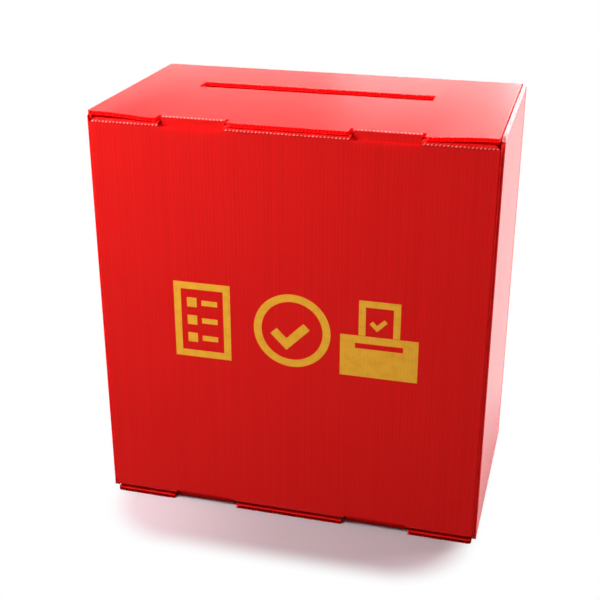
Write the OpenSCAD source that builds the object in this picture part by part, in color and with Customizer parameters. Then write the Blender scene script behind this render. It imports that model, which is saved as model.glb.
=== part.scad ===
// Folding ballot box made from one creased blank of fluted plastic sheet.
// Millimetres. Origin at the centre of the base, Z up, front towards -Y, X to the right.
// The front, side and back walls form a sleeve, closed top and bottom by tucked panels.

/* [Box] */
// Width across the front, over the folds
box_w = 350; // [300:1:420]
// Depth from front to back, over the folds
box_d = 200; // [160:1:260]
// Height over both closed ends
box_h = 375; // [300:1:450]

/* [Sheet] */
// Thickness of the fluted sheet
sheet_t = 3; // [2.5:0.1:4]
// Thickness of each of the sheet's two skins
skin_t = 0.25; // [0.2:0.05:0.4]
// Thickness of each rib between the skins
rib_t = 0.25; // [0.2:0.05:0.4]
// Distance from one rib to the next
flute_pitch = 3.2; // [2.8:0.1:4.8]

/* [Creases] */
// Thickness of the crushed sheet along a fold
web_t = 0.5; // [0.4:0.05:0.8]
// Flat crushed strip on each side of a fold
crease_flat = 0.5; // [0.3:0.1:1.2]

/* [Closing panels] */
// How far the side edges of the lid and bottom stand in from the side folds
lid_inset = 0.5; // [0.3:0.1:3]
// How far the free edge of the lid and bottom stands in from the front wall
lid_front_inset = 0.3; // [0.2:0.1:2]
// Radius of the lid's and bottom's front corners
lid_corner_r = 3; // [1:0.5:8]
// Gap between a closing panel and the ledge flap behind it
tuck_gap = 3; // [2:0.1:4]

/* [Ledge flaps] */
// Depth of a ledge flap from the front wall's face to its free edge
ledge_len = 60; // [45:1:75]
// How far a ledge flap's side edges stand in from the side folds
ledge_inset = 1; // [0.5:0.5:5]
// Radius of a ledge flap's free corners
ledge_corner_r = 12; // [4:1:20]

/* [Dust flaps] */
// Length of a dust flap from the side wall's face to its free edge
dust_len = 60; // [40:1:64]
// How far the side folds lie below the lid's upper face
side_fold_drop = 0.8; // [0:0.1:2.5]
// Gap between a ledge flap and the dust flaps under it
flap_gap = 0.3; // [0.3:0.1:1]
// How much narrower the free edge of a dust flap is, at the front
dust_taper = 12; // [9:1:25]
// Room around a dust flap, beside the front wall and the seam
dust_side_gap = 1; // [0.6:0.1:3]

/* [Tuck tabs] */
// Width of a tuck tab
tab_w = 55; // [35:1:75]
// Length of a tuck tab from the lid's face to its tip
tab_len = 25; // [18:1:30]
// Distance of each tab's middle from the box's middle
tab_x = 82; // [65:1:100]
// Radius of a tab's tip corners
tab_corner_r = 8; // [3:1:14]
// Room between a tucked tab and the inside of the front wall
tab_clear = 2.4; // [2.2:0.1:4]
// Room between a tab and the back and sides of its slot
slot_clear = 1; // [0.6:0.1:2]
// Width of the relief cut beside each tab
relief_w = 3.5; // [2.5:0.1:6]
// How far a relief cut runs past the tab's fold
relief_over = 1.5; // [0.5:0.1:4]

/* [Ballot slot] */
// Length of the ballot slot
slot_len = 215; // [120:1:220]
// Width of the ballot slot
slot_w = 18; // [6:1:26]
// Distance of the slot's middle to the right of the box's middle
slot_x = -6; // [-8:1:8]
// Distance of the slot's middle behind the box's middle
slot_y = 20; // [-15:1:35]

/* [Seam] */
// Width of the seam flap inside the back wall
seam_w = 30; // [20:1:45]
// Number of spot welds down the seam
weld_count = 7; // [3:1:12]
// Radius of a spot weld
weld_r = 4; // [2:0.5:7]
// Thickness of the fused plastic in a spot weld
weld_t = 1.5; // [1:0.1:2.5]

/* [Hidden] */
$fn = 64;

// How far a cutting solid runs past the face that it cuts
over = 1;
// Half the box's width and depth, over the folds
half_w = box_w / 2;
half_d = box_d / 2;
// From the outside of a fold to where the full sheet begins beside it
fold_reach = sheet_t + crease_flat;
// Half the width and depth between the folds, where the walls have their full thickness
flat_w = half_w - fold_reach;
flat_d = half_d - fold_reach;
// Height of the upper faces of the top ledge flap and of the top dust flaps
ledge_top = box_h - sheet_t - tuck_gap;
dust_top = ledge_top - sheet_t - flap_gap;
// Height of a side fold, from which a dust flap hangs, and of the side wall below that fold
side_fold_top = box_h - side_fold_drop;
side_high = side_fold_top - fold_reach;
side_low = box_h - side_high;
// Half of the box's height, about which the top's parts are mirrored to make the bottom's
mid_h = box_h / 2;
// Outer face of a tucked tab, and the edge where the lid begins behind its fold
tab_face = -half_d + sheet_t + tab_clear;
tab_root = tab_face + fold_reach;
// Front edge of the lid
lid_front = -half_d + lid_front_inset;
// Back corner of the seam fold, which lies one sheet in front of the back wall
seam_y = half_d - sheet_t;

sheet_red = [0.84, 0.09, 0.08];
lid_red = [0.93, 0.22, 0.20];
flap_red = [0.76, 0.08, 0.07];
crease_pink = [0.95, 0.62, 0.60];

// Copies of a top piece at the left end, and of a top piece at the bottom
module at_left() mirror([1, 0, 0]) children();
module at_bottom() translate([0, 0, box_h]) mirror([0, 0, 1]) children();

// Stands a flat sheet up, facing the front or facing the side
module facing_front() rotate([90, 0, 0]) children();
module facing_side() rotate([90, 0, 90]) children();

// The flutes of a sheet that lies flat, running along Y; only whole ones are open
module flutes(from, to, start, end) {
    first = ceil((from + skin_t) / flute_pitch);
    last = floor((to - skin_t) / flute_pitch) - 1;
    for (i = [first:last])
        translate([i * flute_pitch + rib_t / 2, start - over, skin_t])
            cube([flute_pitch - rib_t, end - start + 2 * over, sheet_t - 2 * skin_t]);
}

// A flat fluted sheet of the given outline, between the given edges
module sheet(from, to, start, end) {
    difference() {
        linear_extrude(sheet_t) children();
        flutes(from, to, start, end);
    }
}

// A rectangle between two corners
module rect(from, to) translate(from) square(to - from);

// A rectangle with the two corners of its lower edge rounded
module round_rect(from, to, r) {
    rect([from.x, from.y + r], to);
    rect([from.x + r, from.y], [to.x - r, to.y]);
    for (x = [from.x + r, to.x - r])
        translate([x, from.y + r]) circle(r);
}

// A fold: crushed sheet bent round the Z axis from +X to +Y, with its two flat strips
module fold(length) {
    linear_extrude(length) {
        intersection() {
            difference() {
                circle(sheet_t);
                circle(sheet_t - web_t);
            }
            square(sheet_t);
        }
        translate([sheet_t - web_t, -crease_flat]) square([web_t, crease_flat]);
        translate([-crease_flat, sheet_t - web_t]) square([crease_flat, web_t]);
    }
}

// Folds that run along X, at the back edge and at the front edge of a closed end
module back_fold(from, to, y, z) translate([from, y, z]) facing_side() fold(to - from);
module front_fold(from, to, y, z) translate([from, y, z]) mirror([0, 1, 0]) facing_side() fold(to - from);

// Walls

module front_wall() {
    low = box_h - ledge_top + fold_reach;
    high = ledge_top - fold_reach;
    translate([0, -half_d + sheet_t, 0]) facing_front()
        sheet(-flat_w, flat_w, low, high) rect([-flat_w, low], [flat_w, high]);
}

module back_wall() {
    low = fold_reach;
    high = box_h - fold_reach;
    difference() {
        translate([0, half_d, 0]) facing_front()
            sheet(-flat_w, half_w, low, high) rect([-flat_w, low], [half_w, high]);
        weld_holes();
    }
}

module side_wall(back_edge) {
    translate([half_w - sheet_t, 0, 0]) facing_side()
        sheet(-flat_d, back_edge, side_low, side_high)
            rect([-flat_d, side_low], [back_edge, side_high]);
}

// Corner folds: the front ones stand as high as the side walls, the back one as the back wall
module front_corner_fold() {
    translate([half_w - sheet_t, -half_d + sheet_t, side_low]) mirror([0, 1, 0])
        fold(side_high - side_low);
}

module back_corner_fold() {
    translate([half_w - sheet_t, half_d - sheet_t, fold_reach]) fold(box_h - 2 * fold_reach);
}

module front_panel() color(sheet_red) front_wall();
module back_panel() color(sheet_red) back_wall();
module left_panel() color(sheet_red) at_left() side_wall(flat_d);
module right_panel() color(sheet_red) side_wall(seam_y - fold_reach);
module front_left_crease() color(sheet_red) at_left() front_corner_fold();
module front_right_crease() color(sheet_red) front_corner_fold();
module back_left_crease() color(sheet_red) at_left() back_corner_fold();

// Seam: the right wall's end flap, spot welded to the inside of the back wall

seam_edge = half_w - seam_w;
weld_x = (seam_edge + flat_w) / 2;
weld_step = (side_high - side_low) / weld_count;
weld_heights = [for (i = [0:weld_count - 1]) side_low + weld_step * (i + 0.5)];

// One spot per weld, as deep as asked, centred on the joint between the two sheets
module weld_spots(depth) {
    for (z = weld_heights)
        translate([weld_x, seam_y, z]) facing_front()
            cylinder(r = weld_r, h = depth, center = true);
}

module weld_holes() weld_spots(2 * (sheet_t + over));

module seam_crease() {
    color(sheet_red)
        translate([half_w - sheet_t, seam_y - sheet_t, side_low]) fold(side_high - side_low);
}

module seam_flap() {
    color(flap_red)
        difference() {
            translate([0, seam_y, 0]) facing_front()
                sheet(seam_edge, flat_w, side_low, side_high)
                    rect([seam_edge, side_low], [flat_w, side_high]);
            weld_holes();
        }
}

module seam_welds() color(crease_pink) weld_spots(weld_t);

// Closing panels: the lid and the bottom, which differ only by the ballot slot

// The room cut out of a closing panel's front edge for one tab and its two relief cuts
module tab_cut() {
    half_cut = tab_w / 2 + relief_w;
    rect([tab_x - half_cut, lid_front - over], [tab_x + half_cut, tab_root]);
    for (side = [-1, 1])
        translate([tab_x + side * (tab_w + relief_w) / 2, tab_root])
            square([relief_w, 2 * relief_over], center = true);
}

module ballot_slot() translate([slot_x, slot_y]) square([slot_len, slot_w], center = true);

module closing_panel(has_slot) {
    edge = flat_w - lid_inset;
    translate([0, 0, box_h - sheet_t])
        sheet(-edge, edge, lid_front, flat_d)
            difference() {
                round_rect([-edge, lid_front], [edge, flat_d], lid_corner_r);
                tab_cut();
                at_left() tab_cut();
                if (has_slot) ballot_slot();
            }
}

module closing_fold() back_fold(-flat_w, flat_w, half_d - sheet_t, box_h - sheet_t);

module tab() {
    from = tab_x - tab_w / 2;
    to = tab_x + tab_w / 2;
    tip = box_h - tab_len;
    root = box_h - fold_reach;
    translate([0, tab_face + sheet_t, 0]) facing_front()
        sheet(from, to, tip, root) round_rect([from, tip], [to, root], tab_corner_r);
}

module tab_fold() {
    front_fold(tab_x - tab_w / 2, tab_x + tab_w / 2, tab_face + sheet_t, box_h - sheet_t);
}

module lid() color(lid_red) closing_panel(true);
module lid_crease() color(crease_pink) closing_fold();
module lid_tab_left() color(flap_red) at_left() tab();
module lid_tab_right() color(flap_red) tab();
module lid_tab_crease_left() color(crease_pink) at_left() tab_fold();
module lid_tab_crease_right() color(crease_pink) tab_fold();

module bottom_panel() color(sheet_red) at_bottom() closing_panel(false);
module bottom_crease() color(crease_pink) at_bottom() closing_fold();
module bottom_tab_left() color(flap_red) at_bottom() at_left() tab();
module bottom_tab_right() color(flap_red) at_bottom() tab();
module bottom_tab_crease_left() color(crease_pink) at_bottom() at_left() tab_fold();
module bottom_tab_crease_right() color(crease_pink) at_bottom() tab_fold();

// Ledge flaps: folded in from the front wall, with slots at the fold for the tabs

// Half width of the slot for one tab, and the edge of that slot behind the tab
slot_half = tab_w / 2 + slot_clear;
slot_back = tab_face + sheet_t + slot_clear;

module tab_slot() {
    rect([tab_x - slot_half, -half_d], [tab_x + slot_half, slot_back]);
}

module ledge() {
    edge = flat_w - ledge_inset;
    root = -half_d + fold_reach;
    free = -half_d + ledge_len;
    translate([0, 0, ledge_top - sheet_t])
        sheet(-edge, edge, root, free)
            difference() {
                mirror([0, 1]) round_rect([-edge, -free], [edge, -root], ledge_corner_r);
                tab_slot();
                at_left() tab_slot();
            }
}

// The ledge's fold is cut away at the tab slots, which leaves three stretches
module ledge_fold() {
    ends = [-flat_w, -tab_x - slot_half, -tab_x + slot_half,
            tab_x - slot_half, tab_x + slot_half, flat_w];
    for (i = [0:2:len(ends) - 2])
        front_fold(ends[i], ends[i + 1], -half_d + sheet_t, ledge_top - sheet_t);
}

module top_ledge_flap() color(flap_red) ledge();
module top_ledge_crease() color(crease_pink) ledge_fold();
module bottom_ledge_flap() color(flap_red) at_bottom() ledge();
module bottom_ledge_crease() color(crease_pink) at_bottom() ledge_fold();

// Dust flaps: folded in from the side walls, under the ledge flap

dust_front = -flat_d + dust_side_gap;
dust_back = seam_y - sheet_t - dust_side_gap;

// Its flutes run along X, so it is drawn along Y and turned
module dust_flap() {
    root = half_w - fold_reach;
    free = half_w - dust_len;
    translate([0, 0, dust_top - sheet_t]) rotate([0, 0, 90])
        sheet(dust_front, dust_back, -root, -free)
            polygon([
                [dust_front, -root],
                [dust_back, -root],
                [dust_back, -free],
                [dust_front + dust_taper, -free]
            ]);
}

// The fold stands above the flap, and a crushed strip leads from it down to the flap's upper skin
module dust_fold() {
    length = dust_back - dust_front;
    strip_low = dust_top - web_t;
    translate([half_w - sheet_t, dust_back, side_fold_top - sheet_t]) facing_front() fold(length);
    translate([flat_w, dust_front, strip_low])
        cube([crease_flat, length, side_fold_top - strip_low]);
}

module top_dust_flap_left() color(flap_red) at_left() dust_flap();
module top_dust_flap_right() color(flap_red) dust_flap();
module top_dust_crease_left() color(crease_pink) at_left() dust_fold();
module top_dust_crease_right() color(crease_pink) dust_fold();
module bottom_dust_flap_left() color(flap_red) at_bottom() at_left() dust_flap();
module bottom_dust_flap_right() color(flap_red) at_bottom() dust_flap();
module bottom_dust_crease_left() color(crease_pink) at_bottom() at_left() dust_fold();
module bottom_dust_crease_right() color(crease_pink) at_bottom() dust_fold();

front_panel();
back_panel();
left_panel();
right_panel();
front_left_crease();
front_right_crease();
back_left_crease();
seam_crease();
seam_flap();
seam_welds();
lid();
lid_crease();
lid_tab_left();
lid_tab_right();
lid_tab_crease_left();
lid_tab_crease_right();
top_ledge_flap();
top_ledge_crease();
top_dust_flap_left();
top_dust_flap_right();
top_dust_crease_left();
top_dust_crease_right();
bottom_panel();
bottom_crease();
bottom_tab_left();
bottom_tab_right();
bottom_tab_crease_left();
bottom_tab_crease_right();
bottom_ledge_flap();
bottom_ledge_crease();
bottom_dust_flap_left();
bottom_dust_flap_right();
bottom_dust_crease_left();
bottom_dust_crease_right();
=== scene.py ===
"""Looks of the folding ballot box: fluted red sheet, whitened folds, gold print, studio.

Metres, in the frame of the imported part: Z up, front towards -Y, base on Z = 0.
"""

import math

import bmesh
import bpy
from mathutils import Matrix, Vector


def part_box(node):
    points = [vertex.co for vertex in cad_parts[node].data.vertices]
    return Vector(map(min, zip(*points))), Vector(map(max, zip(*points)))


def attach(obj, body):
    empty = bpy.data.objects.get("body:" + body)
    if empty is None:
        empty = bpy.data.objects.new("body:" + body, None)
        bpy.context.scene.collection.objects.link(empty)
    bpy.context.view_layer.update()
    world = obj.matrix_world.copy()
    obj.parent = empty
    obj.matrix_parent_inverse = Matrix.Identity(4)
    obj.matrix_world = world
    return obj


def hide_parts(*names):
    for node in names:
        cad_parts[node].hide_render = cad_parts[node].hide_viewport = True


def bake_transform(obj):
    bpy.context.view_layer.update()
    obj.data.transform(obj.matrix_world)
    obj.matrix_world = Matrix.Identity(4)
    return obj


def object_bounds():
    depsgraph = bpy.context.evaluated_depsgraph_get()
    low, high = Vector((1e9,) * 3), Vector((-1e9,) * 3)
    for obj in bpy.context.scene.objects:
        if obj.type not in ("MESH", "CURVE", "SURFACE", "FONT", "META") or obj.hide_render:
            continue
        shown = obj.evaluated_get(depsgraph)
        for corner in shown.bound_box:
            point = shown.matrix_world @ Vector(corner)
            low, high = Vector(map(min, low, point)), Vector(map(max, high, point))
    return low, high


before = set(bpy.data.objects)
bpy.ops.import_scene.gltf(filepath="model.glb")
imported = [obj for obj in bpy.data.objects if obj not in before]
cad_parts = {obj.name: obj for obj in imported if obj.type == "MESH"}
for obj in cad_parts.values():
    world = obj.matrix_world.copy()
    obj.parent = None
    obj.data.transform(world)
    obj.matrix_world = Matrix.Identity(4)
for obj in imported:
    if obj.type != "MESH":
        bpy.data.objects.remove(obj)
cad_low, cad_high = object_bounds()

MM = 0.001
X = Vector((1, 0, 0))
Y = Vector((0, 1, 0))
Z = Vector((0, 0, 1))


def span(node, axis):
    """Lowest and highest place of a node along one axis, 0 to 2."""
    low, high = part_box(node)
    return low[axis], high[axis]


# The sheet: its thickness, distance between its ribs, and a crushed fold's thickness and flats
SHEET = span("lid", 2)[1] - span("lid", 2)[0]
PITCH = 3.2 * MM
WEB = 0.5 * MM
FLAT = 0.5 * MM

# The box: its outer faces and half its height
FRONT = cad_low.y
BACK = cad_high.y
SIDE = cad_high.x
TOP = cad_high.z
MIDDLE = TOP / 2

# Camera, from the vanishing lines and corners of the photograph
CAMERA_PLACE = Vector((0.24033, -0.94702, 0.60578))
CAMERA_AZIMUTH = math.radians(-15.10)
CAMERA_DIP = math.radians(23.61)
CAMERA_LENS = 67.16

# Linear colours
RED = (0.95, 0.0145, 0.0130, 1.0)
RED_DEEP = (0.66, 0.0090, 0.0080, 1.0)
CUT_RED = (0.98, 0.0090, 0.0110, 1.0)
# The darker cut red of the bottom panel and ledge flaps is painted shade
CUT_SHADE_RED = (0.22, 0.0020, 0.0040, 1.0)
WHITENED = (0.98, 0.50, 0.46, 1.0)
# Painted shadow: the dark red of the dots beside the whitened dashes of a fold
SHADOW_DOT_RED = (0.30, 0.0020, 0.0030, 1.0)
GOLD = (0.97, 0.47, 0.042, 1.0)
GOLD_DEEP = (0.80, 0.33, 0.025, 1.0)

# Specular level of the sheet. That of its side walls was fitted to the photograph on its own.
SPECULAR_LEVEL = 0.025
SIDE_LEVEL = 0.46

# Roughness of the upright front and back, of the side walls and of the level panels, what the
# streaks and a cut edge add to it, and its range on a fold
WALL_ROUGH = 0.30
SIDE_ROUGH = 0.15
LEVEL_ROUGH = 0.20
STREAK_ROUGH = 0.06
CUT_ROUGH = 0.2
FOLD_ROUGH = (0.30, 0.38)

# How far light travels inside the plastic
LIGHT_REACH = (1.0, 0.10, 0.09)
LIGHT_SCALE = 1.5 * MM

# Emission of cut edges and inner faces. It stands for light that comes through the sheet's skins,
# and its strengths were fitted to the photograph, not measured.
LID_EDGE_GLOW = 0.62
EDGE_GLOW = 0.03
INNER_GLOW = 0.16
# The last rib closes the sheet at the right and gives off no light. The light of the cut edges
# fades out at this place, over the width below it.
LAST_RIB = span("lid", 0)[1] - 0.1 * MM
RIB_WALL = 0.5 * MM
# A face looks into the box where its direction times its place, in metres, is negative. At the
# first of these it gives off no light, and at the second all of it.
INNER_FROM = -0.01
INNER_FULL = -0.06


class Graph:
    """A material's or world's nodes, added and linked in short lines."""

    def __init__(self, tree):
        self.tree = tree
        tree.nodes.clear()

    def add(self, kind, **settings):
        node = self.tree.nodes.new("ShaderNode" + kind)
        for key, value in settings.items():
            setattr(node, key, value)
        return node

    def put(self, socket, value):
        """Links value if it is a socket, and otherwise sets it as a plain value."""
        if isinstance(value, bpy.types.NodeSocket):
            self.tree.links.new(value, socket)
        else:
            socket.default_value = value

    def math(self, operation, *values, clamp=False):
        node = self.add("Math", operation=operation, use_clamp=clamp)
        for socket, value in zip(node.inputs, values):
            self.put(socket, value)
        return node.outputs[0]

    def part(self, vector, axis):
        """One part of a vector: axis 0 for X, 1 for Y, 2 for Z."""
        node = self.add("SeparateXYZ")
        self.put(node.inputs[0], vector)
        return node.outputs[axis]

    def ramp(self, value, low, high, out_low=0.0, out_high=1.0):
        """A smooth step of value, from out_low at low to out_high at high."""
        node = self.add("MapRange", interpolation_type="SMOOTHSTEP")
        for name, given in (
            ("Value", value),
            ("From Min", low),
            ("From Max", high),
            ("To Min", out_low),
            ("To Max", out_high),
        ):
            self.put(node.inputs[name], given)
        return node.outputs[0]

    def mix(self, factor, first, second):
        """Blends two colours: the Mix node's colour sockets are inputs 6 and 7 and output 2."""
        node = self.add("Mix", data_type="RGBA")
        self.put(node.inputs[0], factor)
        self.put(node.inputs[6], first)
        self.put(node.inputs[7], second)
        return node.outputs[2]

    def noise(self, vector, scale, detail=2.0, roughness=0.5):
        node = self.add("TexNoise")
        self.put(node.inputs["Vector"], vector)
        node.inputs["Scale"].default_value = scale
        node.inputs["Detail"].default_value = detail
        node.inputs["Roughness"].default_value = roughness
        return node.outputs["Fac"]

    def chance(self, number):
        """A fixed random value from 0 to 1 for each whole number."""
        node = self.add("TexWhiteNoise", noise_dimensions="1D")
        self.put(node.inputs["W"], number)
        return node.outputs["Value"]

    def scaled(self, vector, scale):
        node = self.add("Mapping")
        self.put(node.inputs["Vector"], vector)
        node.inputs["Scale"].default_value = scale
        return node.outputs["Vector"]

    def bump(self, height, distance, strength=1.0, normal=None):
        node = self.add("Bump")
        self.put(node.inputs["Height"], height)
        node.inputs["Distance"].default_value = distance
        node.inputs["Strength"].default_value = strength
        if normal is not None:
            self.put(node.inputs["Normal"], normal)
        return node.outputs["Normal"]

    def plastic(self, colour, roughness, normal, level=SPECULAR_LEVEL, inner=0.5, lit=0.0):
        """The shader of the sheet: satin plastic. inner is the share of light that travels inside
        it, and lit how brightly it glows with light from elsewhere in the sheet."""
        shader = self.add("BsdfPrincipled")
        self.put(shader.inputs["Base Color"], colour)
        self.put(shader.inputs["Roughness"], roughness)
        self.put(shader.inputs["Normal"], normal)
        shader.inputs["Specular IOR Level"].default_value = level
        shader.inputs["Subsurface Weight"].default_value = inner
        shader.inputs["Subsurface Radius"].default_value = LIGHT_REACH
        shader.inputs["Subsurface Scale"].default_value = LIGHT_SCALE
        shader.inputs["Emission Color"].default_value = CUT_RED
        self.put(shader.inputs["Emission Strength"], lit)
        self.surface(shader.outputs[0])

    def surface(self, shader):
        out = self.add("OutputMaterial")
        self.put(out.inputs["Surface"], shader)


def new_material(name):
    material = bpy.data.materials.new(name)
    material.use_nodes = True
    return material, Graph(material.node_tree)


def near_rib(graph, pitches):
    """Distance from the nearest rib, in pitches: 0 on a rib, 0.5 halfway between two."""
    part = graph.math("FRACT", graph.math("ADD", pitches, 0.5))
    return graph.math("ABSOLUTE", graph.math("SUBTRACT", part, 0.5))


# How far from a rib, in pitches, its mark ends, and how far it is full
RIB_ENDS = 0.24
RIB_FULL = 0.02

# Scales of the noises: streaks across and along the flutes, slow unevenness and fine grain
STREAKS_ACROSS = 380.0
STREAKS_ALONG = 4.0
CLOUD_SCALE = 9.0
GRAIN_SCALE = 900.0

# How much a rib, a streak and the unevenness deepen the red
RIB_TONE = 0.16
STREAK_TONE = 0.25
CLOUD_TONE = 0.3

# How squarely a face looks along the sheet's thickness where it is skin, and where it is all cut
SKIN_FACING = 0.85
CUT_FACING = 0.45

# Bumps: their depths, and the shares of a rib and of a streak in the first
FLUTE_RELIEF = 0.05 * MM
RIB_SHARE = 0.5
STREAK_SHARE = 0.6
GRAIN_RELIEF = 0.006 * MM


def sheet_streaks(graph, spot, across):
    """Streaks left along the flutes when the sheet was drawn."""
    stretch = [STREAKS_ALONG, STREAKS_ALONG, STREAKS_ALONG]
    stretch[across] = STREAKS_ACROSS
    return graph.noise(graph.scaled(spot, stretch), 1.0, 3.0)


def sheet_colour(graph, spot, rib, streaks):
    """The red of the skins, deeper over ribs and streaks."""
    clouds = graph.noise(spot, CLOUD_SCALE, 1.0)
    streak_tone = graph.ramp(streaks, 0.1, 0.9, 0.0, STREAK_TONE)
    tone = graph.math("MULTIPLY_ADD", rib, RIB_TONE, streak_tone)
    tone = graph.math("MULTIPLY_ADD", clouds, CLOUD_TONE, tone)
    return graph.mix(graph.math("ADD", tone, 0.0, clamp=True), RED, RED_DEEP)


def sheet_relief(graph, spot, rib, streaks):
    """The faint lines of ribs and streaks, and a fine grain."""
    height = graph.math("MULTIPLY_ADD", rib, RIB_SHARE, graph.math("MULTIPLY", streaks, STREAK_SHARE))
    lines = graph.bump(height, FLUTE_RELIEF)
    grain = graph.noise(spot, GRAIN_SCALE, 2.0)
    return graph.bump(grain, GRAIN_RELIEF, 0.5, lines)


def sheet_light(graph, spot, facing, cut, across, thick, edge_glow):
    """Emission on cut edges, up to the last rib, and on faces that look into the box."""
    beside = graph.part(spot, across)
    open_end = graph.ramp(beside, LAST_RIB, LAST_RIB - RIB_WALL, 0.0, edge_glow)
    outward = graph.math("MULTIPLY", facing, graph.part(spot, thick))
    inner_light = graph.ramp(outward, INNER_FROM, INNER_FULL, 0.0, INNER_GLOW)
    return graph.math("MULTIPLY_ADD", cut, open_end, inner_light)


def sheet_material(
    name, across, along, edge_glow=EDGE_GLOW, level=SPECULAR_LEVEL, rough=WALL_ROUGH, cut_colour=CUT_RED
):
    """Fluted sheet. Its flutes run along one axis and follow each other across another. Away from
    the two skins, on cut edges and inside the flutes, it is duller and has its cut colour."""
    material, graph = new_material(name)
    place = graph.add("TexCoord")
    spot = place.outputs["Object"]
    pitches = graph.math("DIVIDE", graph.part(spot, across), PITCH)
    rib = graph.ramp(near_rib(graph, pitches), RIB_ENDS, RIB_FULL)
    streaks = sheet_streaks(graph, spot, across)

    thick = 3 - across - along
    facing = graph.part(place.outputs["Normal"], thick)
    cut = graph.ramp(graph.math("ABSOLUTE", facing), SKIN_FACING, CUT_FACING)
    colour = graph.mix(cut, sheet_colour(graph, spot, rib, streaks), cut_colour)
    streaked = graph.ramp(streaks, 0.0, 1.0, rough, rough + STREAK_ROUGH)
    roughness = graph.math("MULTIPLY_ADD", cut, CUT_ROUGH, streaked)
    normal = sheet_relief(graph, spot, rib, streaks)
    lit = sheet_light(graph, spot, facing, cut, across, thick, edge_glow)
    graph.plastic(colour, roughness, normal, level, lit=lit)
    return material


# Where round a fold its whitened dashes lie, half their length there, and how far they lean
DASH_PLACE = 0.13
DASH_REACH = 0.20
SLANT = 0.6
# Ranges of a dash's half width, in pitches, and of its strength, and where its edge fades
DASH_WIDTH = (0.18, 0.27)
DASH_STRENGTH = (0.65, 1.0)
DASH_ENDS = 1.15
DASH_FULL = 0.5
# A painted shadow dot lies this many pitches beside a dash, and this many of a dash's reach beyond it
SHADOW_DOT_ASIDE = 0.35
SHADOW_DOT_BEYOND = 1.5


def dash_mask(graph, pitches, around, place, reach):
    """Leaning dashes, one over each rib, each with its own width and strength."""
    number = graph.math("ROUND", pitches)
    width = graph.ramp(graph.chance(number), 0.0, 1.0, *DASH_WIDTH)
    other_number = graph.math("ADD", number, 0.37)
    strength = graph.ramp(graph.chance(other_number), 0.0, 1.0, *DASH_STRENGTH)
    sideways = graph.math("DIVIDE", near_rib(graph, pitches), width)
    lengthways = graph.math("DIVIDE", graph.math("SUBTRACT", around, place), reach)
    squares = [graph.math("POWER", part, 2.0) for part in (sideways, lengthways)]
    distance = graph.math("SQRT", graph.math("ADD", *squares))
    return graph.math("MULTIPLY", graph.ramp(distance, DASH_ENDS, DASH_FULL), strength)


# Folds: scales of their unevenness and grain, the grain's depth, and how much duller a dash is
FOLD_CLOUDS = 60.0
FOLD_GRAIN = 700.0
FOLD_RELIEF = 0.03 * MM
DASH_ROUGH = 0.3


def fold_material(
    name, whitening, level=SPECULAR_LEVEL, place=DASH_PLACE, reach=DASH_REACH, shadow_strength=0.0
):
    """A crushed fold. With whitening, pale dashes show where it crosses the ribs. Its last argument
    paints shadow: dark dots between the dashes and the second panel."""
    material, graph = new_material(name)
    spot = graph.add("TexCoord").outputs["Object"]
    clouds = graph.noise(spot, FOLD_CLOUDS, 3.0)
    colour = graph.mix(graph.ramp(clouds, 0.3, 0.7, 0.0, 0.6), RED, RED_DEEP)
    roughness = graph.ramp(clouds, 0.3, 0.7, *FOLD_ROUGH)
    if whitening:
        pitches = graph.add("Attribute", attribute_name="pitches").outputs["Fac"]
        around = graph.add("Attribute", attribute_name="around").outputs["Fac"]
        # Dots of painted shadow beside the dashes, towards the second panel
        between = graph.math("ADD", pitches, SHADOW_DOT_ASIDE)
        shadow_dot = dash_mask(graph, between, around, place + reach * SHADOW_DOT_BEYOND, reach)
        colour = graph.mix(graph.math("MULTIPLY", shadow_dot, shadow_strength), colour, SHADOW_DOT_RED)
        dash = graph.math("MULTIPLY", dash_mask(graph, pitches, around, place, reach), whitening)
        colour = graph.mix(dash, colour, WHITENED)
        roughness = graph.math("MULTIPLY_ADD", dash, DASH_ROUGH, roughness)
    grain = graph.noise(spot, FOLD_GRAIN, 2.0)
    graph.plastic(colour, roughness, graph.bump(grain, FOLD_RELIEF, 0.6), level)
    return material


# Spot welds: scale, unevenness and depth of their knurl, their roughness and specular level
KNURL_SCALE = 1100.0
KNURL_UNEVEN = 0.25
KNURL_RELIEF = 0.25 * MM
WELD_ROUGH = 0.28
WELD_LEVEL = 0.3


def weld_material():
    """A spot where the two sheets were melted together: darker and glossier, with a fine knurl."""
    material, graph = new_material("fused_spot")
    spot = graph.add("TexCoord").outputs["Object"]
    knurl = graph.add("TexVoronoi")
    graph.put(knurl.inputs["Vector"], spot)
    knurl.inputs["Scale"].default_value = KNURL_SCALE
    knurl.inputs["Randomness"].default_value = KNURL_UNEVEN
    cell = knurl.outputs["Distance"]
    colour = graph.mix(graph.ramp(cell, 0.2, 0.7), RED_DEEP, RED)
    normal = graph.bump(cell, KNURL_RELIEF, 0.8)
    graph.plastic(colour, WELD_ROUGH, normal, level=WELD_LEVEL, inner=0.3)
    return material


# Ink: scale and depth of its mottle, its roughness, and how far thin places turn to deep gold
MOTTLE_SCALE = 120.0
MOTTLE_RELIEF = 0.03 * MM
INK_ROUGH = 0.45
INK_TONE = 0.6


def print_material():
    """Screen-printed gold ink: slightly mottled, a little thinner over the hollows of the sheet."""
    material, graph = new_material("gold_print")
    spot = graph.add("TexCoord").outputs["Object"]
    off_rib = near_rib(graph, graph.math("DIVIDE", graph.part(spot, 0), PITCH))
    mottle = graph.noise(spot, MOTTLE_SCALE, 4.0, 0.6)
    thin = graph.math("ADD", graph.ramp(off_rib, 0.25, 0.5, 0.0, 0.25), graph.ramp(mottle, 0.4, 0.75))
    colour = graph.mix(graph.math("MULTIPLY", thin, INK_TONE, clamp=True), GOLD, GOLD_DEEP)
    graph.plastic(colour, INK_ROUGH, graph.bump(mottle, MOTTLE_RELIEF, 0.5), inner=0.0)
    return material


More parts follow.
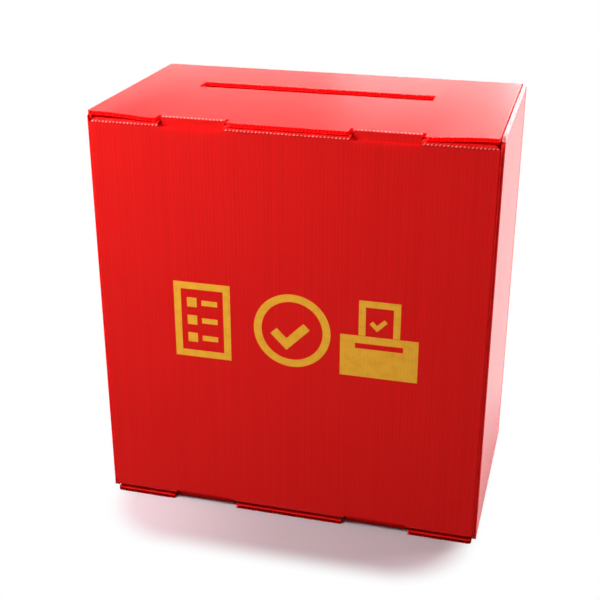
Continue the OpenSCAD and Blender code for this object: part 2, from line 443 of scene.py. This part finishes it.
# Sheets by two axes, 0 to 2: the one across their flutes, then the one along them
sheet_front = sheet_material("red_sheet_front", 0, 2)
sheet_side = sheet_material("red_sheet_side", 1, 2, level=SIDE_LEVEL, rough=SIDE_ROUGH)
sheet_lid = sheet_material("red_sheet_lid", 0, 1, LID_EDGE_GLOW, rough=LEVEL_ROUGH)
# The bottom panel and ledge flaps: their cut edges are darker, a painted shade, and do not glow
sheet_flat = sheet_material("red_sheet_flat", 0, 1, 0.0, rough=LEVEL_ROUGH, cut_colour=CUT_SHADE_RED)
sheet_dust = sheet_material("red_sheet_dust", 1, 0)
corner_red = fold_material("red_fold", 0.0)
bottom_pink = fold_material("bottom_fold", 0.12)
side_pink = fold_material("side_fold", 0.3, SIDE_LEVEL)
# The ledge and tab folds carry dots of painted shadow beside their whitened dashes
ledge_pink = fold_material("whitened_fold", 0.7, shadow_strength=0.3)
tab_pink = fold_material("whitened_tab_fold", 1.0, place=0.24, reach=0.32, shadow_strength=0.9)
fused_spot = weld_material()
gold_print = print_material()


def sheet_for(node):
    if "dust" in node:
        return sheet_dust
    if node in ("left_panel", "right_panel"):
        return sheet_side
    if node == "lid":
        return sheet_lid
    if node == "bottom_panel" or "ledge" in node:
        return sheet_flat
    return sheet_front


for node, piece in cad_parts.items():
    piece.data.materials.clear()
    piece.data.materials.append(sheet_for(node))


# Meshes
def mesh_piece(name, points, faces, material):
    mesh = bpy.data.meshes.new(name)
    mesh.from_pydata([tuple(p) for p in points], [], faces)
    mesh.update()
    mesh.polygons.foreach_set("use_smooth", [True] * len(mesh.polygons))
    mesh.materials.append(material)
    piece = bpy.data.objects.new(name, mesh)
    bpy.context.scene.collection.objects.link(piece)
    return piece


def with_pieces_active(pieces):
    return bpy.context.temp_override(
        active_object=pieces[0], selected_editable_objects=pieces, selected_objects=pieces
    )


def joined(pieces):
    """One object from several, keeping their attributes."""
    if len(pieces) > 1:
        with with_pieces_active(pieces):
            bpy.ops.object.join()
    return pieces[0]


def faced_outward(piece):
    """Turns the faces of closed meshes outward."""
    with with_pieces_active([piece]):
        bpy.context.view_layer.objects.active = piece
        bpy.ops.object.mode_set(mode="EDIT")
        bpy.ops.mesh.select_all(action="SELECT")
        bpy.ops.mesh.normals_make_consistent(inside=False)
        bpy.ops.object.mode_set(mode="OBJECT")
    return piece


# Folds
ARC_STEPS = 14
BEND_STEPS = 4
LEG_STEPS = 8
STEPS_A_RIB = 8
ARC_LENGTH = SHEET * math.pi / 2


def fold_outline(rise=(SHEET, SHEET), leg_end=None):
    """Closed outline of a fold, as (place, normal, around, share) in the plane of its two outward
    directions, where it rises by rise. It goes along the outer skin from the first panel to the
    second, then back along the inner one. around is 0 and 1 at the ends of the bend, and share
    is how much of a dent reaches that skin. With leg_end, a leg leads from the bend down to that
    level instead of on to the second panel."""
    skin = [((rise[0], -FLAT), (1, 0), -FLAT / ARC_LENGTH)]
    for step in range(ARC_STEPS + 1):
        turn = step / ARC_STEPS
        c = math.cos(turn * math.pi / 2)
        s = math.sin(turn * math.pi / 2)
        skin.append(((rise[0] * c, rise[1] * s), (c, s), turn))
    if leg_end is None:
        skin.append(((-FLAT, rise[1]), (0, 1), 1 + FLAT / ARC_LENGTH))
    else:
        knee = rise[1] - WEB
        for step in range(1, BEND_STEPS + 1):
            angle = math.pi / 2 * (1 + step / BEND_STEPS)
            c = math.cos(angle)
            s = math.sin(angle)
            skin.append(((WEB * c, knee + WEB * s), (c, s), 1 + WEB / ARC_LENGTH))
        for step in range(1, LEG_STEPS + 1):
            level = knee + (leg_end - knee) * step / LEG_STEPS
            skin.append(((-WEB, level), (-1, 0), 1 + (rise[1] - level) / ARC_LENGTH))
    outer = [(place, normal, around, 1.0) for place, normal, around in skin]
    inner = [
        ((p[0] - WEB * n[0], p[1] - WEB * n[1]), n, around, 0.5) for p, n, around in reversed(skin)
    ]
    return outer + inner


class Fold:
    """A fold along an axis, about a centre line, between two outward directions."""

    def __init__(self, along, centre, first_out, second_out):
        self.along = along
        self.centre = centre
        self.first = first_out
        self.second = second_out

    def at(self, place):
        return self.centre + place[0] * self.first + place[1] * self.second

    def loft(self, name, ends, steps, material, dent, outline=None):
        """Sweeps the outline between ends(around). dent(travel, around) lowers the skin there, and
        outline(travel) changes the outline on the way."""
        points = []
        pitches = []
        arounds = []
        for i in range(steps + 1):
            middle = ends(0.5)[0] + (ends(0.5)[1] - ends(0.5)[0]) * i / steps
            ring = outline(middle) if outline else fold_outline()
            for place, normal, around, share in ring:
                start, end = ends(min(1.0, max(0.0, around)))
                travel = start + (end - start) * i / steps
                sunk = share * dent(travel, around)
                inward = (place[0] - sunk * normal[0], place[1] - sunk * normal[1])
                points.append(self.at(inward) + self.along * travel)
                pitches.append(travel / PITCH - SLANT * (around - DASH_PLACE))
                arounds.append(around)
        count = len(points) // (steps + 1)
        faces = [tuple(reversed(range(count))), tuple(range(steps * count, (steps + 1) * count))]
        for i in range(steps):
            a = i * count
            b = a + count
            for j in range(count):
                k = (j + 1) % count
                faces.append((a + j, a + k, b + k, b + j))
        piece = mesh_piece(name, points, faces, material)
        for key, values in (("pitches", pitches), ("around", arounds)):
            piece.data.attributes.new(key, "FLOAT", "POINT").data.foreach_set("value", values)
        return piece


# Depths of the dent at a rib and of the creasing rule's groove, and that groove's half width as
# a share of the way round
RIB_DENT = 0.25 * MM
RULE_DENT = 0.40 * MM
RULE_WIDTH = 0.13


def rib_dent(travel, around):
    """Where a fold crosses the ribs, its skin sinks at each one."""
    leaning = travel / PITCH - SLANT * (around - DASH_PLACE)
    hollow = 0.5 + 0.5 * math.cos(2 * math.pi * leaning)
    window = math.sin(math.pi * min(1.0, max(0.0, around)))
    return RIB_DENT * hollow**3 * window


def rule_dent(travel, around):
    """Beside both ends of a corner fold, the creasing rule pressed a groove into the sheet."""
    from_end = min(abs(around), abs(1 - around))
    return RULE_DENT * math.exp(-((from_end / RULE_WIDTH) ** 2))


def settle(node):
    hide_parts(node)


def crossing_fold(node, fold, stretches, material, rise=(SHEET, SHEET)):
    """A fold across the ribs, in one or more stretches."""
    pieces = []
    for ends in stretches:
        start, end = ends(0.0)
        steps = round((end - start) / PITCH * STEPS_A_RIB)
        outline = fold_outline(rise)
        pieces.append(fold.loft(node + "_look", ends, steps, material, rib_dent, lambda travel: outline))
    piece = faced_outward(joined(pieces))
    fold.at((SHEET, 0))
    fold.at((0, SHEET))
    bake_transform(piece)
    settle(node)


def square_ends(start, end):
    return lambda around: (start, end)


def slanted(share):
    """How far along a slanted cut a share of the way round a fold is."""
    return share * share * (3 - 2 * share)


# How far the ledge folds' cut ends lean inward at the four corners of the box
LEDGE_END_LEAN = 4.0 * MM
# Room between a tab and the sides of its slot in the ledge flap
TAB_ROOM = 1.0 * MM


def ledge_stretches(low, high, tab_low, tab_high):
    """The three stretches of a ledge fold around its tab slots, with leaning outer ends."""
    yield lambda around: (low + LEDGE_END_LEAN * slanted(around), -tab_high - TAB_ROOM)
    yield square_ends(-tab_low + TAB_ROOM, tab_low - TAB_ROOM)
    yield lambda around: (tab_high + TAB_ROOM, high - LEDGE_END_LEAN * slanted(around))


# The side folds sink at their front end, towards the ledge fold
SHOULDER_LENGTH = 9.0 * MM
SHOULDER_DROP = 2.4 * MM
LOWEST_FOLD = 0.55 * MM


def side_fold(node, centre, out, up, height, leg_end):
    """The fold beside the lid or bottom, with a leg that leads to the dust flap."""
    fold = Fold(Y, centre, out, up)
    start, end = span(node, 1)

    def outline(travel):
        share = min(1.0, (travel - start) / SHOULDER_LENGTH)
        drop = SHOULDER_DROP * (1 - slanted(share))
        return fold_outline((SHEET, max(LOWEST_FOLD, height - drop)), leg_end)

    steps = round((end - start) / PITCH * STEPS_A_RIB)
    ends = square_ends(start, end)
    piece = fold.loft(node + "_look", ends, steps, side_pink, rib_dent, outline)
    faced_outward(piece)
    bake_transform(piece)
    settle(node)


CORNER_STEPS = 60


def corner_fold(node, centre, first_out, second_out, low_at, high_at):
    """An upright corner fold. Its ends lie at low_at and high_at of the share round the fold."""
    fold = Fold(Z, centre, first_out, second_out)

    def ends(around):
        return low_at(around), high_at(around)

    piece = fold.loft(node + "_look", ends, CORNER_STEPS, corner_red, rule_dent)
    faced_outward(piece)
    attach(piece, "sleeve")
    settle(node)


def at_bottom(point):
    """The same place at the bottom end."""
    return Vector((point.x, point.y, 2 * MIDDLE - point.z))


def make_closing_fold(closing, up, placed):
    """The fold at the back edge of the lid or bottom panel."""
    node = closing + "_crease"
    fold = Fold(X, placed(Vector((0, BACK - SHEET, TOP - SHEET))), Y, up)
    crossing_fold(node, fold, [square_ends(*span(node, 0))], ledge_pink)


def make_tab_folds(closing, up, placed):
    """The folds between the lid or bottom panel and its two tuck tabs."""
    for side in ("left", "right"):
        node = f"{closing}_tab_crease_{side}"
        centre = placed(Vector((0, span(node, 1)[0] + SHEET, TOP - SHEET)))
        fold = Fold(X, centre, up, -Y)
        sunk = lid_sag(sum(span(node, 0)) / 2, span(node, 1)[1]) if up.z > 0 else 0.0
        rise = (SHEET - sunk, SHEET)
        crossing_fold(node, fold, [square_ends(*span(node, 0))], tab_pink, rise)


def make_ledge_fold(closing, end, up, placed):
    """The fold between the front wall and the ledge flap of one end."""
    pink = ledge_pink if up.z > 0 else bottom_pink
    node = end + "_ledge_crease"
    ledge_top = max(abs(z - MIDDLE) for z in span(node, 2)) + MIDDLE
    fold = Fold(X, placed(Vector((0, FRONT + SHEET, ledge_top - SHEET))), -Y, up)
    stretches = ledge_stretches(*span(node, 0), *span(closing + "_tab_right", 0))
    crossing_fold(node, fold, stretches, pink)


def make_side_folds(end, up, placed):
    """The folds at both sides of one end, each with its leg down to the dust flap."""
    for side, out in (("left", -X), ("right", X)):
        node = f"{end}_dust_crease_{side}"
        heights = sorted(abs(z - MIDDLE) + MIDDLE for z in span(node, 2))
        centre = placed(Vector(((SIDE - SHEET) * out.x, 0, heights[1] - SHEET)))
        leg_end = heights[0] - (heights[1] - SHEET)
        height = SHEET - LID_LAP_DROP if (end, side) == ("top", "left") else SHEET
        side_fold(node, centre, out, up, height, leg_end)


def make_end_folds(closing, end, up, placed):
    """The folds of one end of the box: the lid's at the top, the bottom panel's below."""
    make_closing_fold(closing, up, placed)
    make_tab_folds(closing, up, placed)
    make_ledge_fold(closing, end, up, placed)
    make_side_folds(end, up, placed)


# The lid: its two tabs hold the front edge down, and its left edge laps over the side fold. Its
# sag is even from tab to tab, which fits the photograph at the tabs and is too deep between them.
LID_SAG = 2.45 * MM
SAG_FULL = 112 * MM
SAG_NONE = 162 * MM
# The lap grows from a place left of the middle, and the side fold under it stands lower
LID_LAP = 3.4 * MM
LID_LAP_FROM = 140 * MM
LID_LAP_DROP = 2.3 * MM
# Its mesh is cut where it bends: between ribs, every second pitch, and across them at even steps
CUTS_ASIDE = 26
CUT_PITCHES = 2
CUTS_ALONG = 5
CUT_STEP = 16.3 * MM
SHARP_ANGLE = math.radians(30)


def lid_sag(x, y):
    """How far the lid hangs below its flat shape at a place."""
    free = min(1.0, max(0.0, (abs(x) - SAG_FULL) / (SAG_NONE - SAG_FULL)))
    forward = (BACK - y) / (BACK - FRONT)
    return LID_SAG * (1 - slanted(free)) * forward**2


def cut_across(mesh, axis, places):
    """Cuts a mesh in planes across one axis, so that it can bend there."""
    work = bmesh.new()
    work.from_mesh(mesh)
    for place in places:
        spot = Vector((0, 0, 0))
        normal = Vector((0, 0, 0))
        spot[axis] = place
        normal[axis] = 1
        bmesh.ops.bisect_plane(
            work, geom=work.verts[:] + work.edges[:] + work.faces[:], plane_co=spot, plane_no=normal
        )
    work.to_mesh(mesh)
    work.free()


def make_lid():
    """The lid with its sag and lap, from the solid's own mesh."""
    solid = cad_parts["lid"]
    mesh = solid.data.copy()
    mesh.transform(solid.matrix_world)
    cut_across(mesh, 0, [(CUT_PITCHES * k + 0.5) * PITCH for k in range(-CUTS_ASIDE, CUTS_ASIDE + 1)])
    cut_across(mesh, 1, [k * CUT_STEP for k in range(-CUTS_ALONG, CUTS_ALONG + 1)])
    for vertex in mesh.vertices:
        x, y, z = vertex.co
        lap = min(0.0, x + LID_LAP_FROM) * LID_LAP / (SIDE - LID_LAP_FROM)
        vertex.co = (x + lap, y, z - lid_sag(x, y))
    mesh.polygons.foreach_set("use_smooth", [True] * len(mesh.polygons))
    mesh.set_sharp_from_angle(angle=SHARP_ANGLE)
    piece = bpy.data.objects.new("lid_look", mesh)
    bpy.context.scene.collection.objects.link(piece)
    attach(piece, "lid")
    settle("lid")


make_lid()
make_end_folds("lid", "top", Z, lambda point: point)
make_end_folds("bottom", "bottom", -Z, at_bottom)


# Corner folds: the front ones are cut at a slant, from the side wall down to the ledge fold
LEDGE_LEVEL = span("top_ledge_crease", 2)[1] - SHEET


def front_corner(node, out):
    centre = Vector(((SIDE - SHEET) * out.x, FRONT + SHEET, 0))
    side_level = span(node, 2)[1]

    def high_at(around):
        return side_level + (LEDGE_LEVEL - side_level) * slanted(around)

    corner_fold(node, centre, out, -Y, lambda around: 2 * MIDDLE - high_at(around), high_at)


def back_corner(node, out, back):
    low, high = span(node, 2)
    centre = Vector(((SIDE - SHEET) * out.x, back - SHEET, 0))
    corner_fold(node, centre, out, Y, lambda around: low, lambda around: high)


front_corner("front_left_crease", -X)
front_corner("front_right_crease", X)
back_corner("back_left_crease", -X, BACK)
back_corner("seam_crease", X, span("seam_crease", 1)[1])


# Spot welds: each is a pair of shallow dishes pressed through the back wall and the seam flap
DISH_RINGS = 6
DISH_COUNT = 40
DISH_DEPTH = 2.4 * MM
# Share of the hole's radius that a dish fills
DISH_FIT = 0.995


def weld_dish(x, z, radius, front, back):
    """A closed double dish on the Y axis: its rims reach both faces of the two sheets."""
    points = []
    for face, inward in ((back, -1), (front, 1)):
        for ring in range(1, DISH_RINGS + 1):
            share = ring / DISH_RINGS
            y = face + inward * DISH_DEPTH * (1 - share**3)
            for i in range(DISH_COUNT):
                angle = 2 * math.pi * i / DISH_COUNT
                reach = radius * share
                points.append((x + reach * math.cos(angle), y, z + reach * math.sin(angle)))
    side = DISH_RINGS * DISH_COUNT
    points.append((x, back - DISH_DEPTH, z))
    points.append((x, front + DISH_DEPTH, z))
    faces = []
    for first in (0, side):
        tip = 2 * side + (1 if first else 0)
        for i in range(DISH_COUNT):
            k = (i + 1) % DISH_COUNT
            faces.append((tip, first + i, first + k))
            for ring in range(DISH_RINGS - 1):
                a = first + ring * DISH_COUNT
                b = a + DISH_COUNT
                faces.append((a + i, b + i, b + k, a + k))
    rim = (DISH_RINGS - 1) * DISH_COUNT
    for i in range(DISH_COUNT):
        k = (i + 1) % DISH_COUNT
        faces.append((rim + i, side + rim + i, side + rim + k, rim + k))
    return mesh_piece("weld", points, faces, fused_spot)


def make_welds():
    """Seven dishes, as the CAD node's spots stand: evenly down the seam."""
    node = "seam_welds"
    x0, x1 = span(node, 0)
    radius = (x1 - x0) / 2
    heights = sorted({round(v.co.z, 5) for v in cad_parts[node].data.vertices})
    lows = [z for z in heights if not any(z - 2 * radius < other < z for other in heights)]
    front = span("seam_flap", 1)[0]
    dishes = [weld_dish((x0 + x1) / 2, z + radius, radius * DISH_FIT, front, BACK) for z in lows]
    piece = faced_outward(joined(dishes))
    piece.name = node + "_look"
    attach(piece, "sleeve")
    settle(node)


make_welds()


# Gold print on the front: a ballot paper, a ringed tick and a ballot box, from plain outlines
def rectangle(x0, y0, x1, y1):
    return [(x0, y0), (x1, y0), (x1, y1), (x0, y1)]


def ring(x, y, radius, count=96):
    step = 2 * math.pi / count
    return [(x + radius * math.cos(i * step), y + radius * math.sin(i * step)) for i in range(count)]


def tick(x, y, size, stroke):
    """A tick of the given stroke, with its elbow at x, y."""
    root = stroke / math.sqrt(2)
    short = size * 0.42
    return [
        (x, y - root),
        (x + size, y + size - root),
        (x + size - root, y + size),
        (x, y + root),
        (x - short, y + short + root),
        (x - short - root, y + short),
    ]


def ballot_paper():
    yield rectangle(-26, -36, 26, 36)
    yield rectangle(-19.5, -29.5, 19.5, 29.5)
    for y in (17, 0, -17):
        yield rectangle(-14, y - 4.5, -5, y + 4.5)
        yield rectangle(-0.5, y - 2.5, 14, y + 2.5)


def ringed_tick():
    yield ring(0, 0, 34.5)
    yield ring(0, 0, 27.5)
    yield tick(-5, -13, 21, 8)


def box_and_paper():
    yield rectangle(-34, -36, 34, 3)
    yield rectangle(-21, -9, 21, -4)
    yield rectangle(-18, 3.4, 18, 36)
    yield rectangle(-12, 3.4, 12, 30)
    yield tick(-2, 11, 9, 4)


INK = 0.04 * MM
PRINT_MIDDLE = 192 * MM
PRINT_PLACES = ((-77.5, ballot_paper), (4.5, ringed_tick), (81.5, box_and_paper))


def print_outline(name, outlines):
    """A flat filled curve, in the XY plane, from closed outlines in millimetres."""
    curve = bpy.data.curves.new(name, "CURVE")
    curve.dimensions = "2D"
    curve.fill_mode = "BOTH"
    curve.extrude = INK / 2
    for outline in outlines:
        spline = curve.splines.new("POLY")
        spline.points.add(len(outline) - 1)
        for point, (x, y) in zip(spline.points, outline):
            point.co = (x * MM, y * MM, 0, 1)
        spline.use_cyclic_u = True
    return curve


def make_print(name, x, outlines):
    marker = bpy.data.objects.new(name + "_outline", print_outline(name, outlines))
    bpy.context.scene.collection.objects.link(marker)
    marker.rotation_euler = (math.pi / 2, 0, 0)
    marker.location = (x, FRONT - INK, PRINT_MIDDLE)
    bpy.context.view_layer.update()
    mesh = bpy.data.meshes.new_from_object(marker.evaluated_get(bpy.context.evaluated_depsgraph_get()))
    mesh.transform(marker.matrix_world)
    mesh.materials.clear()
    mesh.materials.append(gold_print)
    bpy.data.objects.remove(marker)
    piece = bpy.data.objects.new(name, mesh)
    bpy.context.scene.collection.objects.link(piece)
    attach(piece, "sleeve")


for number, (place, outlines) in enumerate(PRINT_PLACES):
    make_print(f"gold_print_{number + 1}", place * MM, outlines())


# Studio: floor, world, lamps and camera
FLOOR_SIZE = 6.0
FLOOR_GAP = 0.2 * MM
# Near the box the floor takes the box's real shadow; these tinted colours and their fade are painted
# shadow
FLOOR_SHADE = (0.50, 0.45, 0.48, 1.0)
FLOOR_SHADOW_FADED = (0.78, 0.70, 0.75, 1.0)
# The painted shadow tint of the floor grows paler from the first of these places to the second, towards
# the left
SHADOW_FADE_FROM = 0.02
SHADOW_FADE_TO = -0.20
# The floor as the box sees it in bounced light, darker than it looks, to match the photograph
FLOOR_BOUNCE = (0.22, 0.22, 0.22, 1.0)
# Half sizes of the shaded ground under the box, and how far from it the floor starts and ends
# its change to plain white
SHADE_HALF = (0.10, 0.10)
SHADE_START = 0.045
SHADE_END = 0.080
# The same end in mirrored rays, further out, so that the side wall mirrors a dimmer floor
MIRRORED_END = 0.16


def seen_rays(graph):
    """1 for the rays that show the background: straight, mirrored and through."""
    rays = graph.add("LightPath")
    seen = graph.math("MAXIMUM", rays.outputs["Is Camera Ray"], rays.outputs["Is Glossy Ray"])
    return graph.math("MAXIMUM", seen, rays.outputs["Is Transmission Ray"])


def off_shaded_ground(graph, spot):
    """Distance from the shaded ground, 0 on it."""
    squares = []
    for axis, half in enumerate(SHADE_HALF):
        aside = graph.math("ABSOLUTE", graph.part(spot, axis))
        off = graph.math("MAXIMUM", graph.math("SUBTRACT", aside, half), 0.0)
        squares.append(graph.math("POWER", off, 2.0))
    return graph.math("SQRT", graph.math("ADD", *squares))


def floor_matte(graph, spot):
    """The floor near the box: a matte colour, with another one in bounced light. It holds the box's real
    shadow, and its tint and its fade to paler towards the left are painted shadow.
    """
    matte = graph.add("BsdfDiffuse")
    bounced = graph.add("LightPath").outputs["Is Diffuse Ray"]
    # Painted shadow: the tinted floor colour fades to a paler one towards the left
    pale = graph.ramp(graph.part(spot, 0), SHADOW_FADE_FROM, SHADOW_FADE_TO)
    shown = graph.mix(pale, FLOOR_SHADE, FLOOR_SHADOW_FADED)
    graph.put(matte.inputs["Color"], graph.mix(bounced, shown, FLOOR_BOUNCE))
    return matte.outputs[0]


def floor_material():
    material, graph = new_material("studio_floor")
    spot = graph.add("TexCoord").outputs["Object"]
    mirrored = graph.add("LightPath").outputs["Is Glossy Ray"]
    end = graph.ramp(mirrored, 0.0, 1.0, SHADE_END, MIRRORED_END)
    far = graph.ramp(off_shaded_ground(graph, spot), SHADE_START, end)
    blend = graph.add("MixShader")
    graph.put(blend.inputs[0], graph.math("MULTIPLY", far, seen_rays(graph)))
    graph.put(blend.inputs[1], floor_matte(graph, spot))
    graph.put(blend.inputs[2], graph.add("Emission").outputs[0])
    graph.surface(blend.outputs[0])
    return material


def make_floor():
    corners = [(-1, -1), (1, -1), (1, 1), (-1, 1)]
    points = [(FLOOR_SIZE * x, FLOOR_SIZE * y, -FLOOR_GAP) for x, y in corners]
    material = floor_material()
    mesh_piece("floor", points, [(0, 1, 2, 3)], material)


# Ambient light: brightest from this direction, and its level there and on the far side
SKY_BRIGHT = Vector((-0.5, 0.3, 0.8)).normalized()
SKY_HIGH = 0.235
SKY_LOW = 0.05


def make_world():
    world = bpy.data.worlds.new("studio")
    bpy.context.scene.world = world
    world.use_nodes = True
    graph = Graph(world.node_tree)
    toward = graph.add("VectorMath", operation="DOT_PRODUCT")
    graph.put(toward.inputs[0], graph.add("TexCoord").outputs["Generated"])
    toward.inputs[1].default_value = SKY_BRIGHT
    level = graph.ramp(toward.outputs["Value"], -1.0, 1.0, SKY_LOW, SKY_HIGH)
    light = graph.add("Background")
    graph.put(light.inputs["Color"], graph.mix(seen_rays(graph), level, (1, 1, 1, 1)))
    out = graph.add("OutputWorld")
    graph.put(out.inputs["Surface"], light.outputs[0])


def make_lamp(name, place, target, size, power):
    """A soft area lamp that points at target. power is in watts."""
    data = bpy.data.lights.new(name, "AREA")
    data.shape = "RECTANGLE"
    data.size, data.size_y = size
    data.energy = power
    lamp = bpy.data.objects.new(name, data)
    bpy.context.scene.collection.objects.link(lamp)
    lamp.visible_camera = False
    lamp.location = place
    lamp.rotation_euler = (Vector(target) - Vector(place)).to_track_quat("-Z", "Y").to_euler()


def make_camera():
    data = bpy.data.cameras.new("camera")
    data.lens = CAMERA_LENS
    data.sensor_width = 36
    data.clip_start = 0.01
    camera = bpy.data.objects.new("camera", data)
    bpy.context.scene.collection.objects.link(camera)
    level = math.cos(CAMERA_DIP)
    ahead = Vector(
        (math.sin(CAMERA_AZIMUTH) * level, math.cos(CAMERA_AZIMUTH) * level, -math.sin(CAMERA_DIP))
    )
    camera.location = CAMERA_PLACE
    camera.rotation_euler = ahead.to_track_quat("-Z", "Y").to_euler()
    bpy.context.scene.camera = camera


make_floor()
make_world()
make_lamp("top_softbox", place=(-0.1, 0.5, 1.3), target=(0, 0, 0.3), size=(0.9, 0.7), power=9)
make_lamp(
    "left_softbox", place=(-0.60, -0.52, 0.85), target=(-0.1, -0.1, 0.25), size=(0.35, 0.35), power=12.4
)
# Three low ones behind the box, for the lid's sheen, and one beside it for the right wall
make_lamp("low_strip", place=(-0.1, 1.6, 0.42), target=(0, 0, 0.375), size=(2.2, 0.3), power=13.5)
make_lamp("middle_softbox", place=(-0.15, 1.6, 0.6), target=(0, 0, 0.375), size=(0.4, 0.6), power=1.2)
make_lamp("right_softbox", place=(0.50, 1.6, 0.6), target=(0.2, 0, 0.375), size=(0.9, 0.6), power=12.5)
make_lamp("side_softbox", place=(1.3, 0.8, 0.6), target=(0.175, 0, 0.2), size=(0.7, 0.7), power=27)
make_camera()
bpy.context.scene.view_settings.view_transform = "Standard"
